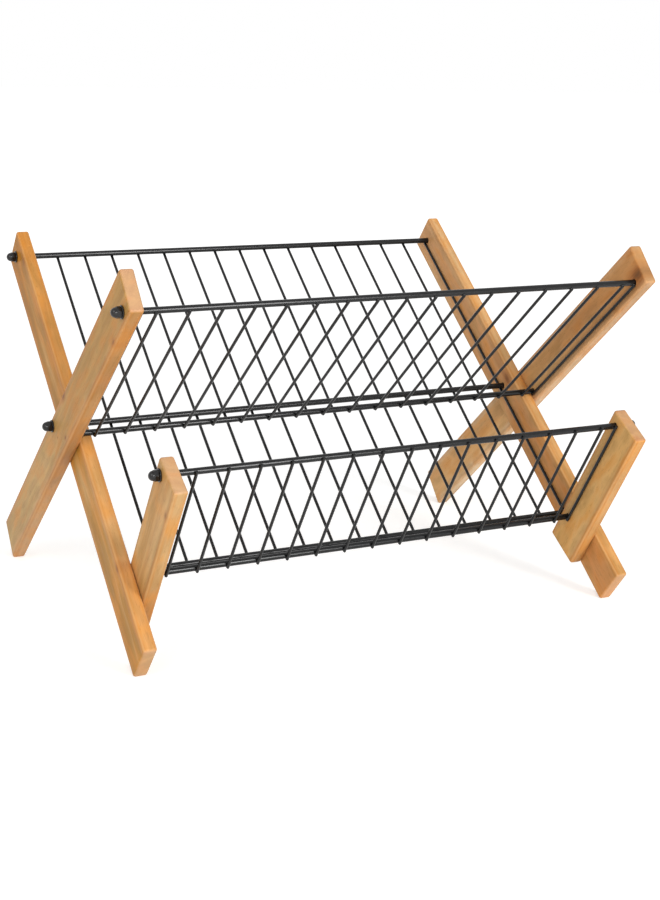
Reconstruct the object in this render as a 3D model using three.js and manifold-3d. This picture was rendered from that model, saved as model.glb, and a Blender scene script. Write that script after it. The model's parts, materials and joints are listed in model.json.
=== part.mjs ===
// A folding two-tier dish rack. Three pairs of flat wooden boards carry three welded panels of
// steel rod and wire. The long boards and the cross boards make an X, hinged on the middle rod
// of the back panel. The short boards hinge low on the long boards and hold the front tier.
//
// Each frame is a group in which X is the rack's width, Y runs along the boards from their foot,
// and Z runs across them, from the back edge to the front edge when the rack is folded flat.
// All sizes are in millimetres. The finished rack stands on z = 0, centred on x = 0 and y = 0.
import * as THREE from "three";
import { mergeVertices } from "three/addons/utils/BufferGeometryUtils.js";
import Module from "manifold-3d";

// ---- Driving dimensions ----

// Boards
const boardWidth = 36;
const boardThickness = 11;
const longBoardLength = 422;
const crossBoardLength = 415;
const shortBoardLength = 150;

// Rods and wires
const rodDiameter = 5;
const wireDiameter = 2.5;
const wirePitch = 25;
const wireCount = 17; // in the back panel
const weldDepth = 0.6; // how far a wire sinks into the rod it is welded to

// How far the wires run past the middle of the top rod and of the low rod of each panel
const backWireHead = 1;
const backWireTail = 1;
const upperWireHead = 1;
const upperWireTail = 0.5;
const lowerWireHead = 3;
const lowerWireTail = 1.5;

// Rod positions on the long boards: distance up from the foot, and in from the front edge
const backTopRodFromTop = 14;
const pivotRodUp = 220.5;
const lowerPivotUp = 67.5;
const lowerPivotFromFront = 8;
const backLowRodPastPivot = 10.25;

// Rod positions on the cross boards
const pivotHoleUp = 194.5;
const pivotHoleFromBack = 6.5;
const upperRodFromFront = 8.5;
const upperLowRodPastPivot = 25;
const upperTopRodFromTop = 13.5;

// Rod positions on the short boards
const lowerPivotHoleUp = 30;
const lowerRodFromBack = 8.5;
const lowerTopRodFromTop = 10;

// Fasteners
const washerRim = 2.5; // how far a washer stands out all round its rod
const washerThickness = 1;
const nutHexWall = 1.5; // from the rod to a flat of its nut
const nutHexHeight = 3;
const nutDomeWall = 1.25;
const nutHeight = 7;
const nutCrown = 2.5; // solid end of a nut, beyond its bore

// Fits
const gap = 0.3; // between pieces that touch, and all round a rod in its hole
const blindHoleFloor = 3; // wood left beyond a blind hole

// Facets round a turned shape
const rodSides = 8;
const wireSides = 6;
const roundSides = 16;

// ---- Derived sizes ----

const rodRadius = rodDiameter / 2;
const wireRadius = wireDiameter / 2;
const wireOffset = rodRadius + wireRadius - weldDepth; // wire middle to rod middle
const holeRadius = rodRadius + gap;
const blindHoleDepth = boardThickness - blindHoleFloor;
const nutBoreDepth = nutHeight - nutCrown;

// Places across the width, from the middle of the rack outwards
const outerBackWire = ((wireCount - 1) / 2) * wirePitch;
const longInner = outerBackWire + wireRadius + gap;
const longOuter = longInner + boardThickness;
const crossInner = longOuter + gap;
const crossOuter = crossInner + boardThickness;
const shortOuter = longInner - gap;
const shortInner = shortOuter - boardThickness;

// Rod places on each board, as { along, across }
const backAcross = boardWidth / 2;
const backTopRod = { along: longBoardLength - backTopRodFromTop, across: backAcross };
const pivotRod = { along: pivotRodUp, across: backAcross };
const backLowRod = { along: lowerPivotUp + backLowRodPastPivot, across: backAcross };
const lowerPivotOnLong = { along: lowerPivotUp, across: boardWidth - lowerPivotFromFront };

const upperAcross = boardWidth - upperRodFromFront;
const pivotOnCross = { along: pivotHoleUp, across: pivotHoleFromBack };
const upperTopRod = { along: crossBoardLength - upperTopRodFromTop, across: upperAcross };
const upperLowRod = { along: pivotHoleUp + upperLowRodPastPivot, across: upperAcross };

const lowerPivotOnShort = { along: lowerPivotHoleUp, across: lowerRodFromBack };
const lowerTopRod = { along: shortBoardLength - lowerTopRodFromTop, across: lowerRodFromBack };

// ---- How far the frames open ----

// The angle between two hinged frames when a stop lies `height` off the line through the hinge,
// for a stop that is `along` and `across` from that hinge.
function openAngle(along, across, height) {
  const reach = Math.hypot(along, across);
  return Math.PI - Math.asin(height / reach) - Math.atan2(across, along);
}

// The cross frame opens until its low rod rests on the front edges of the long boards.
const crossOpen = openAngle(
  upperLowRod.along - pivotOnCross.along,
  upperLowRod.across - pivotOnCross.across,
  boardWidth - pivotRod.across + rodRadius + gap,
);

// The short frame opens until the back edges of its boards rest on the back panel's low rod.
const shortOpen = openAngle(
  backLowRod.along - lowerPivotOnLong.along,
  lowerPivotOnLong.across - backLowRod.across,
  lowerPivotOnShort.across + rodRadius + gap,
);

// The long boards lean so that their feet and the cross boards' feet stand on one level. The
// cross boards stand on their front edge, so the pivot is measured from there.
const pivotBehindFoot = boardWidth - pivotOnCross.across;
const longLean = Math.atan2(
  pivotOnCross.along * Math.sin(crossOpen) -
    pivotBehindFoot * Math.cos(crossOpen) -
    pivotRod.across,
  pivotRod.along -
    pivotOnCross.along * Math.cos(crossOpen) -
    pivotBehindFoot * Math.sin(crossOpen),
);

// ---- Materials ----

const wood = new THREE.MeshStandardMaterial({ color: 0xd9964a, roughness: 0.55, metalness: 0 });
const coatedSteel = new THREE.MeshStandardMaterial({
  color: 0x2b2b2d,
  roughness: 0.4,
  metalness: 0.2,
});
const blackNut = new THREE.MeshStandardMaterial({ color: 0x151516, roughness: 0.2, metalness: 0.5 });

// ---- Joining and cutting ----

const wasm = await Module();
wasm.setup();

function solidFrom(geometry) {
  const bare = geometry.clone();
  bare.deleteAttribute("normal");
  bare.deleteAttribute("uv");
  const merged = mergeVertices(bare, 1e-4);
  return new wasm.Manifold(
    new wasm.Mesh({
      numProp: 3,
      vertProperties: new Float32Array(merged.attributes.position.array),
      triVerts: new Uint32Array(merged.index.array),
    }),
  );
}

function geometryFrom(solid) {
  const mesh = solid.getMesh();
  const geometry = new THREE.BufferGeometry();
  geometry.setAttribute("position", new THREE.BufferAttribute(mesh.vertProperties, 3));
  geometry.setIndex(new THREE.BufferAttribute(mesh.triVerts, 1));
  const faceted = geometry.toNonIndexed();
  faceted.computeVertexNormals();
  return faceted;
}

const joined = (solids) => solids.reduce((whole, next) => whole.add(next));
const cut = (solid, tools) => tools.reduce((left, tool) => left.subtract(tool), solid);

// ---- Basic shapes, each in the axes of its own frame ----

// A round bar along X, from one x to another. Half a facet's turn lays a flat towards the wires.
function barAlongX({ along, across }, fromX, toX, radius, sides) {
  const geometry = new THREE.CylinderGeometry(radius, radius, toX - fromX, sides);
  geometry.rotateY(Math.PI / sides);
  geometry.rotateZ(-Math.PI / 2);
  geometry.translate((fromX + toX) / 2, along, across);
  return solidFrom(geometry);
}

// A wire along Y at one x, with a flat turned towards the rods.
function wireAlongY(x, across, fromY, toY) {
  const geometry = new THREE.CylinderGeometry(wireRadius, wireRadius, toY - fromY, wireSides);
  geometry.rotateY(Math.PI / wireSides);
  geometry.translate(x, (fromY + toY) / 2, across);
  return solidFrom(geometry);
}

// ---- Boards ----

// A flat board from innerX outwards on the side `side`, with holes for rods. A blind hole is
// drilled from the board's inner face and a through hole passes both faces.
function board(side, innerX, length, throughHoles, blindHoles) {
  const plank = new THREE.BoxGeometry(boardThickness, length, boardWidth);
  plank.translate(side * (innerX + boardThickness / 2), length / 2, boardWidth / 2);
  const drill = (place, fromX, toX) =>
    barAlongX(
      place,
      Math.min(side * fromX, side * toX),
      Math.max(side * fromX, side * toX),
      holeRadius,
      roundSides,
    );
  const outerX = innerX + boardThickness;
  return geometryFrom(
    cut(solidFrom(plank), [
      ...throughHoles.map((place) => drill(place, innerX - 1, outerX + 1)),
      ...blindHoles.map((place) => drill(place, innerX - 1, innerX + blindHoleDepth)),
    ]),
  );
}

// ---- Welded panels ----

// How far a rod reaches from the middle of the rack: into a blind hole, or into the bore of the
// nut that clamps the board whose outer face is at outerX.
const blindReach = (innerX) => innerX + blindHoleDepth - gap;
const nutSeat = (outerX) => outerX + gap + washerThickness + gap;
const nutReach = (outerX) => nutSeat(outerX) + nutBoreDepth - gap;

// The back panel's wires, evenly spaced from side to side.
const backWirePlaces = Array.from(
  { length: wireCount },
  (_, index) => index * wirePitch - outerBackWire,
);

// The wires of a panel between two boards whose inner faces are at innerX: one beside each
// board, and between those every place where the back panel has a wire too.
function wirePlacesBetween(innerX) {
  const endWire = innerX - gap - wireRadius;
  const inner = backWirePlaces.filter((x) => Math.abs(x) < endWire - wireDiameter - gap);
  return [-endWire, ...inner, endWire];
}

// Rods across the rack with wires welded to one side of them. facing is 1 where the wires lie
// on the front side of the rods and -1 where they lie behind them.
function wirePanel(rods, wirePlaces, facing, fromY, toY) {
  const across = rods[0].place.across + facing * wireOffset;
  return geometryFrom(
    joined([
      ...rods.map(({ place, reach }) => barAlongX(place, -reach, reach, rodRadius, rodSides)),
      ...wirePlaces.map((x) => wireAlongY(x, across, fromY, toY)),
    ]),
  );
}

// In the middle of the long boards' width: three rods, with the wires on their back side. Its
// wires stop at the low rod, clear of the short boards.
const backPanel = wirePanel(
  [
    { place: backTopRod, reach: nutReach(longOuter) },
    { place: pivotRod, reach: nutReach(crossOuter) },
    { place: backLowRod, reach: blindReach(longInner) },
  ],
  backWirePlaces,
  -1,
  backLowRod.along - backWireTail,
  backTopRod.along + backWireHead,
);

// Between the cross boards: two rods, with the wires on their front side. The low rod rests on
// the front edges of the long boards.
const upperPanel = wirePanel(
  [
    { place: upperTopRod, reach: nutReach(crossOuter) },
    { place: upperLowRod, reach: blindReach(crossInner) },
  ],
  wirePlacesBetween(crossInner),
  1,
  upperLowRod.along - upperWireTail,
  upperTopRod.along + upperWireHead,
);

// Between the short boards: two rods, with the wires on their front side. The low rod goes
// through the short boards into the long boards, and is the hinge of the short frame.
const lowerPanel = wirePanel(
  [
    { place: lowerTopRod, reach: nutReach(shortOuter) },
    { place: lowerPivotOnShort, reach: blindReach(longInner) },
  ],
  wirePlacesBetween(shortInner),
  1,
  lowerPivotOnShort.along - lowerWireTail,
  lowerTopRod.along + lowerWireHead,
);

// ---- Fasteners ----

// A flat ring, made along Y with its underside at y = 0.
function washerGeometry() {
  const outer = rodRadius + washerRim;
  const profile = [
    [holeRadius, 0],
    [outer, 0],
    [outer, washerThickness],
    [holeRadius, washerThickness],
    [holeRadius, 0],
  ].map(([radius, height]) => new THREE.Vector2(radius, height));
  return new THREE.LatheGeometry(profile, roundSides);
}

// A cap nut: a hexagon with a round dome over it and a blind bore, along Y from y = 0.
function capNutGeometry() {
  const hexRadius = (rodRadius + nutHexWall) / Math.cos(Math.PI / 6);
  const hex = new THREE.CylinderGeometry(hexRadius, hexRadius, nutHexHeight, 6);
  hex.translate(0, nutHexHeight / 2, 0);

  const domeRadius = rodRadius + nutDomeWall;
  const domeStart = nutHeight - domeRadius;
  const domeSteps = 4;
  const profile = [new THREE.Vector2(0, nutHexHeight / 2)];
  profile.push(new THREE.Vector2(domeRadius, nutHexHeight / 2));
  for (let step = 0; step < domeSteps; step += 1) {
    const turn = (step / domeSteps) * (Math.PI / 2);
    profile.push(
      new THREE.Vector2(domeRadius * Math.cos(turn), domeStart + domeRadius * Math.sin(turn)),
    );
  }
  profile.push(new THREE.Vector2(0, nutHeight));
  const dome = new THREE.LatheGeometry(profile, roundSides);

  const bore = new THREE.CylinderGeometry(holeRadius, holeRadius, nutBoreDepth + 1, roundSides);
  bore.translate(0, (nutBoreDepth - 1) / 2, 0);
  return geometryFrom(cut(joined([solidFrom(hex), solidFrom(dome)]), [solidFrom(bore)]));
}

// ---- Assembly ----

const sides = [
  { name: "left", side: -1 },
  { name: "right", side: 1 },
];

function named(name, geometry, material) {
  const mesh = new THREE.Mesh(geometry, material);
  mesh.name = name;
  return mesh;
}

function addBoards(frame, name, innerX, length, throughHoles, blindHoles) {
  for (const end of sides) {
    const geometry = board(end.side, innerX, length, throughHoles, blindHoles);
    frame.add(named(`${name}_${end.name}`, geometry, wood));
  }
}

// A washer and a cap nut on each end of a rod, outside the boards whose outer faces are at outerX.
function addFasteners(frame, name, place, outerX) {
  for (const end of sides) {
    const washer = named(`${name}_washer_${end.name}`, washerGeometry(), blackNut);
    const nut = named(`${name}_cap_nut_${end.name}`, capNutGeometry(), blackNut);
    washer.position.set(end.side * (outerX + gap), place.along, place.across);
    nut.position.set(end.side * nutSeat(outerX), place.along, place.across);
    for (const piece of [washer, nut]) {
      piece.rotation.z = (-end.side * Math.PI) / 2;
      frame.add(piece);
    }
  }
}

const longFrame = new THREE.Group();
addBoards(
  longFrame,
  "long_board",
  longInner,
  longBoardLength,
  [backTopRod, pivotRod],
  [backLowRod, lowerPivotOnLong],
);
longFrame.add(named("back_wire_panel", backPanel, coatedSteel));
addFasteners(longFrame, "back_rod", backTopRod, longOuter);
addFasteners(longFrame, "pivot_rod", pivotRod, crossOuter);

const crossFrame = new THREE.Group();
addBoards(
  crossFrame,
  "cross_board",
  crossInner,
  crossBoardLength,
  [pivotOnCross, upperTopRod],
  [upperLowRod],
);
crossFrame.add(named("upper_wire_panel", upperPanel, coatedSteel));
addFasteners(crossFrame, "upper_rod", upperTopRod, crossOuter);

const shortFrame = new THREE.Group();
addBoards(
  shortFrame,
  "short_board",
  shortInner,
  shortBoardLength,
  [lowerPivotOnShort, lowerTopRod],
  [],
);
shortFrame.add(named("lower_wire_panel", lowerPanel, coatedSteel));
addFasteners(shortFrame, "lower_rod", lowerTopRod, shortOuter);

// Hangs a frame on the long frame, so that its hole `own` meets the rod at `seat`, turned by
// `angle` from lying flat along the long boards.
function hinge(frame, own, seat, angle) {
  const pivot = new THREE.Group();
  pivot.position.set(0, seat.along, seat.across);
  pivot.rotation.x = angle;
  frame.position.set(0, -own.along, -own.across);
  pivot.add(frame);
  longFrame.add(pivot);
}

hinge(crossFrame, pivotOnCross, pivotRod, crossOpen);
hinge(shortFrame, lowerPivotOnShort, lowerPivotOnLong, shortOpen);

longFrame.rotation.x = longLean;

const rack = new THREE.Group();
rack.add(longFrame);

// The long boards' feet are at z = 0 already. The rack is centred from front to back.
const extent = new THREE.Box3().setFromObject(rack, true);
rack.position.y = -(extent.min.y + extent.max.y) / 2;

export default rack;
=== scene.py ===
import json
import math

import bmesh
import bpy
from mathutils import Matrix, Vector


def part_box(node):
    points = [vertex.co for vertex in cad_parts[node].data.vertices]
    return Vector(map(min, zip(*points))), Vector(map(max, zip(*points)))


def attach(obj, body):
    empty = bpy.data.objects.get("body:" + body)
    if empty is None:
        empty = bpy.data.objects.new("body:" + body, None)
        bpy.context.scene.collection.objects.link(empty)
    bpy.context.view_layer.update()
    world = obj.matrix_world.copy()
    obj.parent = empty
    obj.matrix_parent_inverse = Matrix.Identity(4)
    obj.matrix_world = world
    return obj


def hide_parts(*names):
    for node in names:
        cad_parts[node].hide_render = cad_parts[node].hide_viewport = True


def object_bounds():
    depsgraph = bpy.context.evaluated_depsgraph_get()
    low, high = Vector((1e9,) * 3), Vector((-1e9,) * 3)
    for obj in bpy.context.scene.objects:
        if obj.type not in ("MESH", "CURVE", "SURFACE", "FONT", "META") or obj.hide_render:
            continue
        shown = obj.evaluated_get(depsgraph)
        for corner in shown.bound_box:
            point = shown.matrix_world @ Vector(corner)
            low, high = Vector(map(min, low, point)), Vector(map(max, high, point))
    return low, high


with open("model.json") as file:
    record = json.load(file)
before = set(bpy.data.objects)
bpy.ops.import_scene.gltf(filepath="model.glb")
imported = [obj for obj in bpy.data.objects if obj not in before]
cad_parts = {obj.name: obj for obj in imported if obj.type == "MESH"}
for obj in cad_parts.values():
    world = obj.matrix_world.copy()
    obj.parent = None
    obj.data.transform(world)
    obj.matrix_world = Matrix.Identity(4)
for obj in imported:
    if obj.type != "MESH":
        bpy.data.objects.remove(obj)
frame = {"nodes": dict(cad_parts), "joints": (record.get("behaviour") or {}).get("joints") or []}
cad_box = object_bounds()


# ---- Long boards ----
# Two boards of acacia, sawn 36 by 11 mm, that lean back and carry both hinges. They are planed,
# drilled for the rods, sanded round along every corner, and wiped with a honey-coloured oil.

mm = 0.001
corner_round = 2.1 * mm
hole_round = 0.3 * mm
hole_facet = 2 * mm

hinge_at = {joint["name"]: Vector(joint["pos_m"]) for joint in frame["joints"]}


def rod_under(nut):
    """Where the rod that a cap nut closes crosses the middle plane of the rack."""
    low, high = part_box(nut)
    middle = (low + high) / 2
    return Vector((0, middle.y, middle.z))


def frame_place(hinge, rod, across):
    """The place of a folding frame: Y runs up along its boards from the hinge, and Z across them.
    The rod lies `across` from the line through the hinge."""
    reach = rod - hinge
    lean = math.atan2(reach.z, reach.y) - math.asin(across / reach.length)
    return Matrix.Translation(hinge) @ Matrix.Rotation(lean, 4, "X")


def linear(hex_colour):
    """The linear colour of an sRGB hex value, with an alpha of 1."""
    parts = [int(hex_colour[i : i + 2], 16) / 255 for i in (1, 3, 5)]
    return (*[p / 12.92 if p <= 0.04045 else ((p + 0.055) / 1.055) ** 2.4 for p in parts], 1)


def node(tree, kind, inputs=None, **settings):
    """Adds a node with its settings. An input is a plain value or another node's output."""
    added = tree.nodes.new(kind)
    for name, value in settings.items():
        setattr(added, name, value)
    for name, value in (inputs or {}).items():
        if isinstance(value, bpy.types.NodeSocket):
            tree.links.new(value, added.inputs[name])
        else:
            added.inputs[name].default_value = value
    return added


def empty_material(name):
    """A material with no nodes in it yet."""
    material = bpy.data.materials.new(name)
    material.use_nodes = True
    material.node_tree.nodes.clear()
    return material


straw = "#E8C391"
russet = "#9A5826"
olive = "#9E7A42"
gold = "#D38B34"
amber = "#B86F20"
umber = "#6E4520"

# Sizes in the wood, in mm like the board_mm attribute: half of a board's section, the widest
# swing of the fibres, the usual distance between two growth rings, and how far in from the
# narrow faces their own tone reaches.
half_thickness = 5.5
half_width = 18
fibre_wander = 14
ring_distance = 7
narrow_tone_depth = 8


def oiled_acacia(name, tones, tint_along, cut_from, knots_and_shade_patches):
    """Acacia, planed, sanded and oiled: soft growth rings, olive and golden patches, faint fine
    pores and pin knots, under a satin sheen with no film. `tones` are the colours of the wide
    faces, the narrow faces and the ends, each matched to how that face looks in the light, so
    that part of the difference between them is painted light and shade. The tint along the board
    says from where to where along it the wood darkens, and with what; this is partly painted
    shade. `cut_from` is the board's place in the log, in mm from the pith, and each of the pin
    knots and patches of painted shade in the last argument is (along, across, size, depth)."""
    material = empty_material(name)
    tree = material.node_tree
    wide_tone, narrow_tone, end_tone = tones
    pale_at, deep_at, along_tint = tint_along

    def grain(place, thick, along, across, detail, roughness=0.5):
        """Noise with features of these sizes, in mm, through the board's thickness, along it
        and across it."""
        stretch = node(
            tree,
            "ShaderNodeMapping",
            {"Vector": place, "Scale": (1 / thick, 1 / along, 1 / across)},
        )
        return node(
            tree,
            "ShaderNodeTexNoise",
            {
                "Vector": stretch.outputs[0],
                "Scale": 1,
                "Detail": detail,
                "Roughness": roughness,
            },
        ).outputs

    def blend(base, tint, amount, share, low, high):
        """Mixes a tint into the wood, from none of it where `share` is at low to the whole
        amount where it is at high."""
        ramp = node(
            tree,
            "ShaderNodeMapRange",
            {"Value": share, "From Min": low, "From Max": high, "To Max": amount},
            interpolation_type="SMOOTHSTEP",
        )
        return node(
            tree,
            "ShaderNodeMix",
            {0: ramp.outputs["Result"], 6: base, 7: linear(tint)},
            data_type="RGBA",
        ).outputs[2]

    on_board = node(tree, "ShaderNodeAttribute", attribute_name="board_mm").outputs["Vector"]
    in_log = node(
        tree, "ShaderNodeVectorMath", {0: on_board, 1: cut_from}, operation="ADD"
    ).outputs[0]

    # The fibres wander a few millimetres to each side over the length of a hand.
    wander = grain(in_log, thick=40, along=110, across=24, detail=2)
    fibres = node(
        tree,
        "ShaderNodeVectorMath",
        {0: wander["Color"], 1: (fibre_wander, 0, fibre_wander), 2: in_log},
        operation="MULTIPLY_ADD",
    ).outputs[0]

    # Growth rings about the pith, 4 to 9 mm apart, as bands of uneven width. They run nearly
    # straight along the log, so its length counts for a hundredth.
    flat = node(
        tree, "ShaderNodeVectorMath", {0: fibres, 1: (1, 0.01, 1)}, operation="MULTIPLY"
    )
    radius = node(
        tree, "ShaderNodeVectorMath", {0: flat.outputs[0]}, operation="LENGTH"
    ).outputs["Value"]
    rings = node(
        tree,
        "ShaderNodeTexNoise",
        {"W": radius, "Scale": 1 / ring_distance, "Detail": 2, "Roughness": 0.5},
        noise_dimensions="1D",
    ).outputs["Fac"]

    # The olive and golden patches are as wide as a finger and three times as long.
    patches = grain(fibres, thick=16, along=36, across=11, detail=2)["Fac"]

    # Real fibres are far thinner than 1.4 mm, which is as coarse as they need to be to show.
    fibre = grain(fibres, thick=1.4, along=40, across=1.4, detail=3, roughness=0.6)["Fac"]

    # Pores are dashes of 0.2 by 4 mm, drawn at 0.5 by 6 mm so that they show.
    dashes = grain(fibres, thick=0.5, along=6, across=0.5, detail=0)["Fac"]
    pores = node(
        tree,
        "ShaderNodeMapRange",
        {"Value": dashes, "From Min": 0.64, "From Max": 0.78},
        interpolation_type="SMOOTHSTEP",
    ).outputs["Result"]

    # How far a point lies from the board's middle line, through its thickness and across it,
    # and how near it is to a corner, where `corner` comes up to half the thickness.
    offset = node(
        tree, "ShaderNodeVectorMath", {0: on_board}, operation="ABSOLUTE"
    ).outputs[0]
    offset = node(tree, "ShaderNodeSeparateXYZ", {0: offset}).outputs
    inset = node(
        tree, "ShaderNodeMath", {0: offset["Z"], 1: half_width - half_thickness}, operation="SUBTRACT"
    ).outputs[0]
    corner = node(
        tree, "ShaderNodeMath", {0: inset, 1: offset["X"]}, operation="MINIMUM"
    ).outputs[0]

    # The saw meets the rings at another slope on the narrow faces, which have their own tone; it is
    # matched to how they look in the light, so it is partly painted light and shade.
    narrow_from = half_width - narrow_tone_depth
    colour = blend(linear(wide_tone), narrow_tone, 0.6, offset["Z"], narrow_from, half_width)
    colour = blend(colour, umber, 0.14, wander["Fac"], 0.48, 0.68)
    colour = blend(colour, straw, 0.26, wander["Fac"], 0.52, 0.32)
    colour = blend(colour, russet, 0.2, rings, 0.4, 0.7)
    colour = blend(colour, straw, 0.18, rings, 0.5, 0.24)
    colour = blend(colour, olive, 0.38, patches, 0.44, 0.7)
    colour = blend(colour, gold, 0.5, patches, 0.54, 0.3)
    colour = blend(colour, umber, 0.12, fibre, 0.5, 0.78)
    colour = blend(colour, straw, 0.1, fibre, 0.5, 0.26)
    colour = blend(colour, umber, 0.22, pores, 0, 1)

    # The wood is tinted along each board, from none of the tint at pale_at to all of it at deep_at,
    # to match how its colour changes along it in the light: this is partly painted shade, as at the
    # foot of the left short board, where it meets the long one.
    along_board = node(tree, "ShaderNodeSeparateXYZ", {0: on_board}).outputs["Y"]
    along_share = node(
        tree,
        "ShaderNodeMapRange",
        {"Value": along_board, "From Min": pale_at, "From Max": deep_at},
        interpolation_type="SMOOTHSTEP",
    ).outputs["Result"]
    colour = node(
        tree,
        "ShaderNodeMix",
        {0: along_share, 6: colour, 7: linear(along_tint)},
        data_type="RGBA",
        blend_type="MULTIPLY",
    ).outputs[2]

    # Beside the corners the wood darkens to amber, partly from oil sinking into the fibres that
    # sanding opened and partly as painted shade where the rounded corners turn from the light. The
    # eased corners themselves are painted pale, as a painted highlight.
    colour = blend(colour, amber, 0.32, corner, half_thickness - 4, half_thickness - 1.5)
    colour = blend(colour, straw, 0.2, corner, half_thickness - 2, half_thickness - 0.5)

    # A pin knot: a dark heart, longer than it is wide, in a reddish halo with a ragged rim. The same
    # mark also paints patches of shade on some boards.
    for along, across, size, depth in knots_and_shade_patches:
        from_knot = node(
            tree, "ShaderNodeVectorMath", {0: on_board, 1: (0, -along, -across)}, operation="ADD"
        ).outputs[0]
        stretched = node(
            tree,
            "ShaderNodeVectorMath",
            {0: from_knot, 1: (0, 0.6 / size, 1 / size)},
            operation="MULTIPLY",
        ).outputs[0]
        away = node(
            tree, "ShaderNodeVectorMath", {0: stretched}, operation="LENGTH"
        ).outputs["Value"]
        ragged = node(
            tree, "ShaderNodeMath", {0: fibre, 1: 1.2, 2: away}, operation="MULTIPLY_ADD"
        ).outputs[0]
        colour = blend(colour, russet, 0.6 * depth, ragged, 2.4, 1.0)
        colour = blend(colour, umber, 0.8 * depth, ragged, 1.5, 0.7)

    # Sawn ends drink more oil between their fibres and have a tone of their own, which is matched to
    # how they look in the light and so is partly painted light.
    end_grain = node(tree, "ShaderNodeAttribute", attribute_name="end_grain").outputs["Fac"]
    colour = blend(colour, end_tone, 0.45, end_grain, 0.3, 1)

    # The sheen and the bump follow the fibres, and the pores are pits between them.
    sheen = node(
        tree, "ShaderNodeMapRange", {"Value": fibre, "To Min": 0.42, "To Max": 0.58}
    ).outputs["Result"]
    height = node(
        tree, "ShaderNodeMath", {0: pores, 1: -1.2, 2: fibre}, operation="MULTIPLY_ADD"
    ).outputs[0]
    bump = node(
        tree, "ShaderNodeBump", {"Height": height, "Strength": 0.25, "Distance": 0.06 * mm}
    )
    surface = node(
        tree,
        "ShaderNodeBsdfPrincipled",
        {
            "Base Color": colour,
            "Roughness": sheen,
            "Normal": bump.outputs[0],
            "IOR": 1.45,
            "Specular IOR Level": 0.2,
        },
    )
    node(tree, "ShaderNodeOutputMaterial", {"Surface": surface.outputs[0]})
    return material


def sharp_edges(shape):
    """The edges where two faces of a shape meet at more than about 57 degrees."""
    return [edge for edge in shape.edges if edge.calc_face_angle(0) > 1]


def round_over(shape, edges, size, steps):
    """Takes the edges of a shape off to a round of this size."""
    bmesh.ops.bevel(
        shape,
        geom=edges,
        offset=size,
        offset_type="OFFSET",
        affect="EDGES",
        segments=steps,
        profile=0.5,
        material=-1,
    )


def in_scene(name, data):
    """Puts a mesh, a light or a lens in the scene as an object."""
    added = bpy.data.objects.new(name, data)
    bpy.context.scene.collection.objects.link(added)
    return added


def mesh_object(name, shape, material):
    """Turns a finished bmesh into an object of one material."""
    mesh = bpy.data.meshes.new(name)
    shape.to_mesh(mesh)
    shape.free()
    mesh.materials.append(material)
    return in_scene(name, mesh)


def finished(name, shape, body, cad_node, material):
    """Makes the shape a smooth piece that rides on its body and stands for its CAD node."""
    for face in shape.faces:
        face.smooth = True
    piece = mesh_object(name, shape, material)
    flats = piece.modifiers.new("flat faces stay flat", "WEIGHTED_NORMAL")
    flats.weight = 100
    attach(piece, body)
    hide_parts(cad_node)


def sanded_board(name, cad_node, body, place, material):
    """A board with the shape and holes of its CAD node, and its corners sanded round."""
    board = bmesh.new()
    board.from_mesh(frame["nodes"][cad_node].data)
    bmesh.ops.remove_doubles(board, verts=board.verts, dist=0.01 * mm)
    bmesh.ops.transform(board, matrix=place.inverted(), verts=board.verts)
    bmesh.ops.dissolve_limit(
        board, angle_limit=math.radians(1), verts=board.verts, edges=board.edges
    )
    # The rim of a drilled hole is a ring of short edges, and the board's own edges are long.
    for size, steps, shortest, longest in (
        (hole_round, 2, 0, hole_facet),
        (corner_round, 5, hole_facet, math.inf),
    ):
        square = [e for e in sharp_edges(board) if shortest < e.calc_length() < longest]
        round_over(board, square, size, steps)

    corners = [Vector(pick(v.co[i] for v in board.verts) for i in range(3)) for pick in (min, max)]
    middle = (corners[0] + corners[1]) / 2
    middle.y = 0
    in_board = board.verts.layers.float_vector.new("board_mm")
    for vert in board.verts:
        vert[in_board] = (vert.co - middle) / mm
    at_end = board.faces.layers.float.new("end_grain")
    for face in board.faces:
        face[at_end] = abs(face.normal.y)

    bmesh.ops.transform(board, matrix=place, verts=board.verts)
    finished(name, board, body, cad_node, material)


long_place = frame_place(hinge_at["cross_fold"], rod_under("back_rod_cap_nut_left"), 0)
sanded_board(
    "acacia_long_board_left",
    "long_board_left",
    "long_frame",
    long_place,
    oiled_acacia(
        "oiled_acacia_long_left",
        tones=("#B27D28", "#D69F6B", "#BD9C80"),
        tint_along=(-120, 190, "#F7EBC7"),
        cut_from=(-31, 900, 14),
        knots_and_shade_patches=[(-148, 15, 3, 0.6), (169, 13.5, 3.4, 0.5)],
    ),
)
sanded_board(
    "acacia_long_board_right",
    "long_board_right",
    "long_frame",
    long_place,
    oiled_acacia(
        "oiled_acacia_long_right",
        tones=("#D29D6C", "#D3B17F", "#CFA680"),
        tint_along=(190, -200, "#F0DFC0"),
        cut_from=(47, -300, -9),
        # The patch by the hinge is painted shade, where the boards cross at the pivot.
        knots_and_shade_patches=[(-1, 10, 4.5, 0.9)],
    ),
)


# ---- Back wire panel ----
# Three 5 mm steel rods with 2.5 mm wires welded across their back side, sprayed and baked with
# a satin black powder coat. The top and middle rods end in nuts, and the low one in the boards.

rod_size = 5 * mm
rod_sides = 32
wire_size = 2.5 * mm
wire_sides = 12
weld_depth = 0.6 * mm
weld_bead = Vector((3.4, 3.8, 2.2)) * mm
cut_round = 0.35 * mm
wire_pitch = 25 * mm
wires_each_side = 8
into_nut = 4.2 * mm
into_board = 7.7 * mm
low_rod_above_hinge = 10.25 * mm
past_back_rods = 1 * mm
wires_from_rods = (rod_size + wire_size) / 2 - weld_depth
behind = -1

coat_black = "#0B0B0C"
coat_grey = "#121314"


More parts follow.
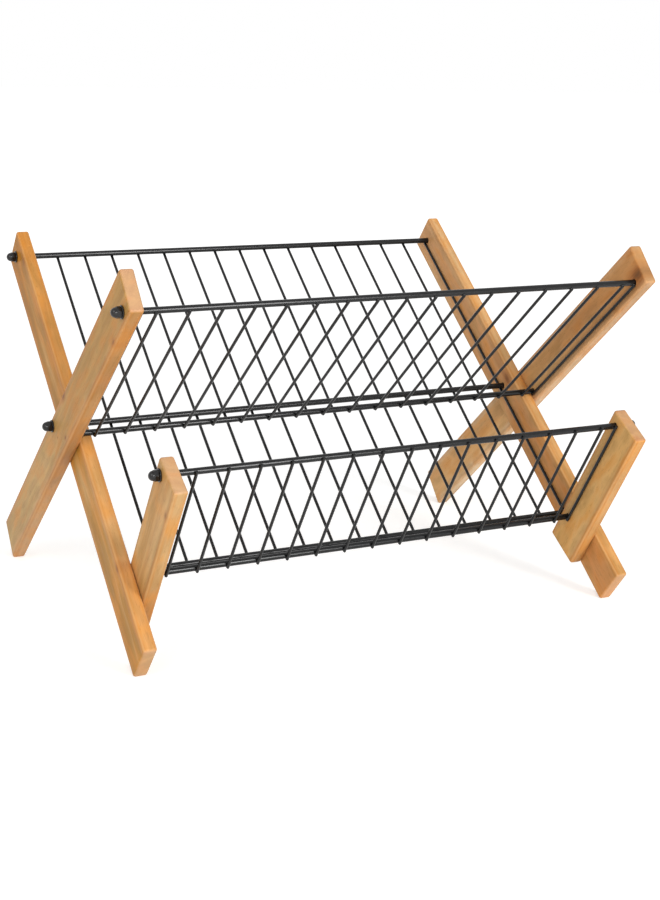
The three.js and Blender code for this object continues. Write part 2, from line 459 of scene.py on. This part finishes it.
def powder_coated_steel():
    """Steel with a baked powder coat: a satin black skin with a faint orange peel, which gives a
    soft grey highlight along each rod. Its clouds are 18 mm across and its peel 0.9 mm."""
    material = empty_material("powder_coated_steel")
    tree = material.node_tree
    place = node(tree, "ShaderNodeTexCoord").outputs["Object"]
    cloud = node(
        tree, "ShaderNodeTexNoise", {"Vector": place, "Scale": 1 / (18 * mm), "Detail": 2}
    ).outputs["Fac"]
    peel = node(
        tree, "ShaderNodeTexNoise", {"Vector": place, "Scale": 1 / (0.9 * mm), "Detail": 1}
    ).outputs["Fac"]
    colour = node(
        tree,
        "ShaderNodeMix",
        {"Factor": cloud, 6: linear(coat_black), 7: linear(coat_grey)},
        data_type="RGBA",
    ).outputs[2]
    rough = node(
        tree, "ShaderNodeMapRange", {"Value": cloud, "To Min": 0.18, "To Max": 0.25}
    ).outputs["Result"]
    bump = node(
        tree, "ShaderNodeBump", {"Height": peel, "Strength": 0.25, "Distance": 0.03 * mm}
    )
    surface = node(
        tree,
        "ShaderNodeBsdfPrincipled",
        {
            "Base Color": colour,
            "Roughness": rough,
            "Normal": bump.outputs[0],
            "IOR": 1.5,
            "Specular IOR Level": 0.3,
        },
    )
    node(tree, "ShaderNodeOutputMaterial", {"Surface": surface.outputs[0]})
    return material


coated_steel = powder_coated_steel()


def round_bar(panel, size, sides, length, place):
    """A straight round bar along Z about its middle, with the burr taken off both cut ends."""
    bar = bmesh.ops.create_cone(
        panel,
        cap_ends=True,
        segments=sides,
        radius1=size / 2,
        radius2=size / 2,
        depth=length,
        matrix=place,
    )
    edges = {edge for vert in bar["verts"] for edge in vert.link_edges}
    rims = [edge for edge in edges if any(len(f.verts) == sides for f in edge.link_faces)]
    round_over(panel, rims, cut_round, 2)


def wire_panel(name, cad_node, body, place, rods, wires, side, foot, head):
    """Rods along X, given as (along, across, reach), with a wire at each place in `wires` from
    foot to head, in front of them or behind, and a bead of weld where a wire crosses a rod."""
    panel = bmesh.new()
    wires_across = rods[0][1] + side * wires_from_rods
    for along, across, reach in rods:
        lying = Matrix.Translation((0, along, across)) @ Matrix.Rotation(math.pi / 2, 4, "Y")
        round_bar(panel, rod_size, rod_sides, 2 * reach, lying)
    for x in wires:
        halfway = Matrix.Translation((x, (foot + head) / 2, wires_across))
        upright = halfway @ Matrix.Rotation(math.pi / 2, 4, "X")
        round_bar(panel, wire_size, wire_sides, head - foot, upright)
        for along, across, _ in rods:
            middle = Vector((x, along, across + side * rod_size / 2))
            bead = Matrix.LocRotScale(middle, None, weld_bead)
            bmesh.ops.create_uvsphere(
                panel, u_segments=10, v_segments=6, radius=0.5, matrix=bead
            )
    bmesh.ops.transform(panel, matrix=place, verts=panel.verts)
    finished(name, panel, body, cad_node, coated_steel)


def reach_of(nut):
    """How far a rod runs from the middle of the rack into the nut at its right end."""
    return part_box(nut)[0].x + into_nut


back_wires = [i * wire_pitch for i in range(-wires_each_side, wires_each_side + 1)]
back_top = (rod_under("back_rod_cap_nut_left") - hinge_at["cross_fold"]).length
lower_hinge = long_place.inverted() @ hinge_at["short_fold"]
back_low = lower_hinge.y + low_rod_above_hinge
blind_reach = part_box("long_board_right")[0].x + into_board
wire_panel(
    "coated_back_panel",
    "back_wire_panel",
    "long_frame",
    long_place,
    rods=[
        (back_top, 0, reach_of("back_rod_cap_nut_right")),
        (0, 0, reach_of("pivot_rod_cap_nut_right")),
        (back_low, 0, blind_reach),
    ],
    wires=back_wires,
    side=behind,
    foot=back_low - past_back_rods,
    head=back_top + past_back_rods,
)


# ---- Cross boards ----
# Two boards like the long ones, bolted outside them on the middle rod. They stand on the front
# corner of their square feet and cross the long boards to make an X.

cross_across = 21 * mm
cross_place = frame_place(
    hinge_at["cross_fold"], rod_under("upper_rod_cap_nut_left"), cross_across
)
sanded_board(
    "acacia_cross_board_left",
    "cross_board_left",
    "cross_frame",
    cross_place,
    oiled_acacia(
        "oiled_acacia_cross_left",
        tones=("#C3A065", "#BA8667", "#C89F85"),
        tint_along=(-200, 200, "#E8DAB8"),
        cut_from=(38, 120, 21),
        knots_and_shade_patches=[(176, 15, 2.6, 0.7), (43, -15, 3.4, 0.8), (25, 12, 1.9, 0.9), (6, 2, 1.1, 0.6)],
    ),
)
sanded_board(
    "acacia_cross_board_right",
    "cross_board_right",
    "cross_frame",
    cross_place,
    oiled_acacia(
        "oiled_acacia_cross_right",
        tones=("#E1AF73", "#E3D5B9", "#9E7C53"),
        tint_along=(-60, 190, "#DDCBBC"),
        cut_from=(-52, 2100, 6),
        # The patch at the upper rod's end is painted shade, where the rod meets the board.
        knots_and_shade_patches=[(215, 7, 7, 1.2)],
    ),
)


# ---- Upper wire panel ----
# The tier that plates stand in: two coated rods between the cross boards, with wires welded on
# their front side. Its low rod rests on the long boards, which stops the rack opening further.

beside_board = 0.3 * mm
past_upper_low = 0.5 * mm
past_upper_top = 1 * mm
in_front = 1


def wires_between(inner_face):
    """A wire close to each board, and between them every place where the back panel has one."""
    end_wire = inner_face - beside_board - wire_size / 2
    inner = [x for x in back_wires if abs(x) < end_wire - wire_size - beside_board]
    return [-end_wire, *inner, end_wire]


upper_top = (cross_place.inverted() @ rod_under("upper_rod_cap_nut_left")).y
upper_low = 25 * mm
cross_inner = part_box("cross_board_right")[0].x
wire_panel(
    "coated_upper_panel",
    "upper_wire_panel",
    "cross_frame",
    cross_place,
    rods=[
        (upper_top, cross_across, reach_of("upper_rod_cap_nut_right")),
        (upper_low, cross_across, cross_inner + into_board),
    ],
    wires=wires_between(cross_inner),
    side=in_front,
    foot=upper_low - past_upper_low,
    head=upper_top + past_upper_top,
)


# ---- Short boards ----
# Two short boards inside the long ones, hinged low on the lower panel's rod. They lean forward
# on the back panel's low rod and hold the front tier.

short_place = frame_place(hinge_at["short_fold"], rod_under("lower_rod_cap_nut_left"), 0)
sanded_board(
    "acacia_short_board_left",
    "short_board_left",
    "short_frame",
    short_place,
    oiled_acacia(
        "oiled_acacia_short_left",
        tones=("#C19358", "#AA8A60", "#C0997D"),
        # The tint at the foot is painted shade, where this board meets the long one.
        tint_along=(40, -20, "#F3E7DA"),
        cut_from=(-26, 610, 33),
        knots_and_shade_patches=[(94, 14, 2.6, 0.5)],
    ),
)
sanded_board(
    "acacia_short_board_right",
    "short_board_right",
    "short_frame",
    short_place,
    oiled_acacia(
        "oiled_acacia_short_right",
        tones=("#D6A45E", "#9B6942", "#9D7666"),
        tint_along=(10, 130, "#F7F5EF"),
        cut_from=(64, 1500, -17),
        knots_and_shade_patches=[],
    ),
)


# ---- Lower wire panel ----
# The front tier for cups and bowls: two coated rods between the short boards. The low rod goes
# through them into the long boards and is the hinge of this tier.

past_hinge_rod = 1.5 * mm
past_lower_top = 3 * mm

lower_top = (rod_under("lower_rod_cap_nut_left") - hinge_at["short_fold"]).length
wire_panel(
    "coated_lower_panel",
    "lower_wire_panel",
    "short_frame",
    short_place,
    rods=[
        (lower_top, 0, reach_of("lower_rod_cap_nut_right")),
        (0, 0, blind_reach),
    ],
    wires=wires_between(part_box("short_board_right")[0].x),
    side=in_front,
    foot=-past_hinge_rod,
    head=lower_top + past_lower_top,
)


# ---- Washers ----
# A flat washer of 10 mm under each cap nut: stamped steel, tumbled round at its rim and
# plated black.

washer_inner = 2.8 * mm
washer_outer = 5 * mm
washer_thick = 1 * mm
washer_round = 0.3 * mm

nut_black = "#0D0D0E"
nut_brown = "#151312"


def black_nickel():
    """Steel with a bright black nickel plating: glossy, with a faint haze of 2.5 mm spots from
    handling."""
    material = empty_material("black_nickel_plating")
    tree = material.node_tree
    place = node(tree, "ShaderNodeTexCoord").outputs["Object"]
    haze = node(
        tree, "ShaderNodeTexNoise", {"Vector": place, "Scale": 1 / (2.5 * mm), "Detail": 3}
    ).outputs["Fac"]
    colour = node(
        tree,
        "ShaderNodeMix",
        {"Factor": haze, 6: linear(nut_black), 7: linear(nut_brown)},
        data_type="RGBA",
    ).outputs[2]
    rough = node(
        tree, "ShaderNodeMapRange", {"Value": haze, "To Min": 0.18, "To Max": 0.23}
    ).outputs["Result"]
    surface = node(
        tree,
        "ShaderNodeBsdfPrincipled",
        {"Base Color": colour, "Roughness": rough, "IOR": 1.6, "Specular IOR Level": 0.3},
    )
    node(tree, "ShaderNodeOutputMaterial", {"Surface": surface.outputs[0]})
    return material


plating = black_nickel()
full_turn = 2 * math.pi


def turned(outline):
    """Spins an outline of (radius, height) points about Z into a closed shape."""
    shape = bmesh.new()
    verts = [shape.verts.new((radius, 0, height)) for radius, height in outline]
    edges = [shape.edges.new(pair) for pair in zip(verts, verts[1:])]
    bmesh.ops.spin(
        shape,
        geom=verts + edges,
        axis=(0, 0, 1),
        cent=(0, 0, 0),
        angle=full_turn,
        steps=48,
        use_merge=True,
    )
    bmesh.ops.remove_doubles(shape, verts=shape.verts, dist=0.001 * mm)
    return shape


def on_rod(cad_node, side):
    """The place of a fastener that points outwards from its CAD node's inner face."""
    low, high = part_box(cad_node)
    middle = (low + high) / 2
    seat = low.x if side > 0 else high.x
    outwards = Matrix.Rotation(side * math.pi / 2, 4, "Y")
    return Matrix.Translation((seat, middle.y, middle.z)) @ outwards


fastener_bodies = {
    "back_rod": "long_frame",
    "pivot_rod": "long_frame",
    "upper_rod": "cross_frame",
    "lower_rod": "short_frame",
}
end_sides = {"left": -1, "right": 1}
rod_ends = [(rod, end) for rod in fastener_bodies for end in end_sides]


def fasten(kind, rod, end, shape):
    """Puts a washer or a nut on the end of its rod, in the place of its CAD node."""
    cad_node = f"{rod}_{kind}_{end}"
    bmesh.ops.transform(shape, matrix=on_rod(cad_node, end_sides[end]), verts=shape.verts)
    name = f"plated_{kind}_{rod}_{end}"
    finished(name, shape, fastener_bodies[rod], cad_node, plating)


washer_outline = [
    (washer_inner, 0),
    (washer_outer, 0),
    (washer_outer, washer_thick),
    (washer_inner, washer_thick),
    (washer_inner, 0),
]
for rod, end in rod_ends:
    washer = turned(washer_outline)
    bmesh.ops.recalc_face_normals(washer, faces=washer.faces)
    round_over(washer, sharp_edges(washer), washer_round, 3)
    fasten("washer", rod, end, washer)


# ---- Cap nuts ----
# An M5 cap nut on each rod end: turned with a dome and chamfered corners, milled to a hexagon of
# 8 mm and plated black. Each one stops at its own turn when it is tight.

nut_flat = 4 * mm
nut_corner = 4.52 * mm
nut_chamfer = 4.05 * mm
chamfer_height = 0.3 * mm
nut_hex_height = 3 * mm
dome_radius = 3.75 * mm
nut_height = 7 * mm
bore_radius = 2.8 * mm
bore_depth = 4.5 * mm
dome_steps = 8

dome_start = nut_height - dome_radius
dome_angles = [math.pi / 2 * i / dome_steps for i in range(dome_steps)]
nut_outline = [
    (0, bore_depth),
    (bore_radius, bore_depth),
    (bore_radius, 0),
    (nut_chamfer, 0),
    (nut_corner, chamfer_height),
    (nut_corner, nut_hex_height - chamfer_height),
    (nut_chamfer, nut_hex_height),
    (dome_radius, nut_hex_height),
    *[(dome_radius * math.cos(a), dome_start + dome_radius * math.sin(a)) for a in dome_angles],
    (0, nut_height),
]


def cap_nut(turn):
    """A turned cap nut on Z, with six flats milled on it."""
    nut = turned(nut_outline)
    for flat in range(6):
        facing = turn + flat * full_turn / 6
        outwards = Vector((math.cos(facing), math.sin(facing), 0))
        milled = bmesh.ops.bisect_plane(
            nut,
            geom=[*nut.verts, *nut.edges, *nut.faces],
            plane_co=outwards * nut_flat,
            plane_no=outwards,
            clear_outer=True,
        )
        outline = [part for part in milled["geom_cut"] if isinstance(part, bmesh.types.BMEdge)]
        bmesh.ops.holes_fill(nut, edges=outline)
    bmesh.ops.recalc_face_normals(nut, faces=nut.faces)
    return nut


tight_at = [0.1, 0.9, 0.3, 0.5, 0.35, 0.7, 0.2, 0.8]
for (rod, end), turn in zip(rod_ends, tight_at):
    fasten("cap_nut", rod, end, cap_nut(turn))


# ---- Floor and backdrop ----
# A wide sheet of matt white paper under the rack, lit a little from itself so that it stays
# white to the horizon and keeps a faint shadow. The world behind it is white to the eye.

paper_side = 24
paper_white = "#F2F2F1"
paper_near = 0.4
paper_far = 2.5
paper_glow_near = 0.4
paper_glow_far = 0.7
backdrop_light = 0.55


def seen_by_eye(tree):
    """1 for what the eye sees, straight or in a reflection, and 0 for what lights the rack."""
    rays = node(tree, "ShaderNodeLightPath").outputs
    return node(
        tree,
        "ShaderNodeMath",
        {0: rays["Is Camera Ray"], 1: rays["Is Glossy Ray"]},
        operation="MAXIMUM",
    ).outputs[0]


paper = empty_material("white_paper_sweep")
on_paper = node(paper.node_tree, "ShaderNodeTexCoord").outputs["Object"]
from_rack = node(
    paper.node_tree, "ShaderNodeVectorMath", {0: on_paper}, operation="LENGTH"
).outputs["Value"]
fill = node(
    paper.node_tree,
    "ShaderNodeMapRange",
    {
        "Value": from_rack,
        "From Min": paper_near,
        "From Max": paper_far,
        "To Min": paper_glow_near,
        "To Max": paper_glow_far,
    },
).outputs["Result"]
matt = node(paper.node_tree, "ShaderNodeBsdfDiffuse", {"Color": linear(paper_white)})
glow_strength = node(
    paper.node_tree,
    "ShaderNodeMath",
    {0: seen_by_eye(paper.node_tree), 1: fill},
    operation="MULTIPLY",
).outputs[0]
glow = node(
    paper.node_tree, "ShaderNodeEmission", {"Color": (1, 1, 1, 1), "Strength": glow_strength}
)
both = node(paper.node_tree, "ShaderNodeAddShader", {0: matt.outputs[0], 1: glow.outputs[0]})
node(paper.node_tree, "ShaderNodeOutputMaterial", {"Surface": both.outputs[0]})

sheet = bmesh.new()
under_feet = Matrix.Translation((0, 0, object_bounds()[0].z))
bmesh.ops.create_grid(sheet, x_segments=1, y_segments=1, size=paper_side / 2, matrix=under_feet)
mesh_object("paper_floor", sheet, paper)

world = bpy.data.worlds.new("white_studio")
bpy.context.scene.world = world
world.use_nodes = True
world.node_tree.nodes.clear()
strength = node(
    world.node_tree,
    "ShaderNodeMapRange",
    {"Value": seen_by_eye(world.node_tree), "To Min": backdrop_light, "To Max": 1},
).outputs["Result"]
backdrop = node(
    world.node_tree, "ShaderNodeBackground", {"Color": (1, 1, 1, 1), "Strength": strength}
)
node(world.node_tree, "ShaderNodeOutputWorld", {"Surface": backdrop.outputs[0]})


# ---- Studio lights ----
# Three soft boxes: a tall one at the front right, which draws the highlight along the rods, a
# small one at the front left, which glints in the cap nuts, and a fill on the left that keeps
# the outer faces of the boards from going dull.

rack_middle = (cad_box[0] + cad_box[1]) / 2


def soft_box(name, place, width, height, power):
    """A light of width by height, in metres, at `place` from the rack's middle and turned
    towards it, with its power in watts."""
    light = bpy.data.lights.new(name, "AREA")
    light.shape = "RECTANGLE"
    light.size = width
    light.size_y = height
    light.energy = power
    lamp = in_scene(name, light)
    away = Vector(place)
    towards_rack = away.to_track_quat("Z", "Y").to_matrix().to_4x4()
    lamp.matrix_world = Matrix.Translation(rack_middle + away) @ towards_rack
    lamp.visible_camera = False


soft_box("front_strip", (0.62, -2.0, 0.6), width=0.4, height=1.1, power=27)
soft_box("key_light", (-0.55, -2.0, 0.5), width=0.5, height=0.45, power=15)
soft_box("left_fill", (-1.6, -0.9, 1.0), width=1.2, height=1.2, power=11)


# ---- Camera ----
# A lens of 61.5 mm at eye height above the worktop, looking down and across from the left front
# corner. The shift frames the rack in the upper part of the picture.

bpy.context.scene.view_settings.view_transform = "Standard"

camera_place = Vector((-565.5226, -1143.9032, 459.0913)) * mm
camera_pan = math.radians(-26.7177)
camera_tilt = math.radians(90 - 9.5297)
camera_roll = math.radians(1.4570)

lens = bpy.data.cameras.new("camera")
lens.sensor_width = 36
lens.lens = 61.5454
lens.shift_y = -0.16673
camera = in_scene("camera", lens)
camera.matrix_world = (
    Matrix.Translation(camera_place)
    @ Matrix.Rotation(camera_pan, 4, "Z")
    @ Matrix.Rotation(camera_tilt, 4, "X")
    @ Matrix.Rotation(camera_roll, 4, "Z")
)
bpy.context.scene.camera = camera
